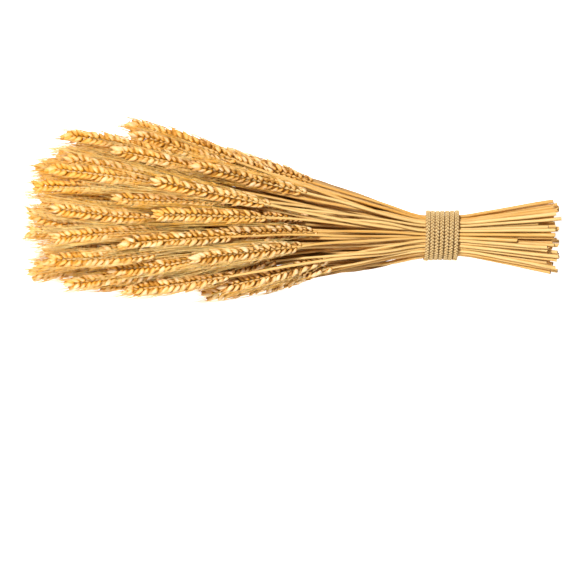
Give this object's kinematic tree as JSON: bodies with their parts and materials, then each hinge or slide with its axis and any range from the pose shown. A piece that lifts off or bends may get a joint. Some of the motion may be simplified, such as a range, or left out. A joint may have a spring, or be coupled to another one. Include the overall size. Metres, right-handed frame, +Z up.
{
  "type": "bundle of dried wheat",
  "caption": "Bundle of dried bearded wheat stalks lying on its side, fanned ears at one end and cut straw ends at the other, bound near the ends with wound jute twine.",
  "frame": {"origin": "the surface the bundle lies on, under the middle of its bounding box", "axes": "+X along the bundle towards the cut ends, -X towards the ears, +Z up from the surface"},
  "size_m": [0.4548, 0.1582, 0.0821],
  "materials": {
    "straw": "dry golden wheat straw and husk, satin on the stems and matt on the ears",
    "jute": "rough matt twisted jute twine with loose fibres"
  },
  "bodies": {
    "root": {"wheat_stalks_01": "straw", "wheat_stalks_02": "straw", "wheat_stalks_03": "straw", "wheat_stalks_04": "straw", "wheat_stalks_05": "straw", "wheat_stalks_06": "straw", "wheat_stalks_07": "straw", "wheat_stalks_08": "straw", "wheat_stalks_09": "straw", "wheat_stalks_10": "straw", "wheat_stalks_11": "straw", "wheat_stalks_12": "straw", "wheat_stalks_13": "straw", "wheat_stalks_14": "straw", "wheat_stalks_15": "straw", "wheat_stalks_16": "straw", "wheat_stalks_17": "straw", "wheat_stalks_18": "straw", "wheat_stalks_19": "straw", "wheat_stalks_20": "straw", "wheat_stalks_21": "straw", "wheat_stalks_22": "straw", "wheat_stalks_23": "straw", "wheat_stalks_24": "straw", "wheat_stalks_25": "straw", "wheat_stalks_26": "straw", "wheat_stalks_27": "straw", "wheat_stalks_28": "straw", "wheat_stalks_29": "straw", "wheat_stalks_30": "straw", "wheat_stalks_31": "straw", "wheat_stalks_32": "straw", "wheat_stalks_33": "straw", "wheat_stalks_34": "straw", "wheat_stalks_35": "straw", "wheat_stalks_36": "straw", "wheat_stalks_37": "straw", "wheat_stalks_38": "straw", "wheat_stalks_39": "straw", "wheat_stalks_40": "straw", "wheat_stalks_41": "straw", "wheat_stalks_42": "straw", "wheat_stalks_43": "straw", "wheat_stalks_44": "straw", "wheat_stalks_45": "straw", "wheat_stalks_46": "straw", "jute_binding": "jute"}
  },
  "joints": []
}
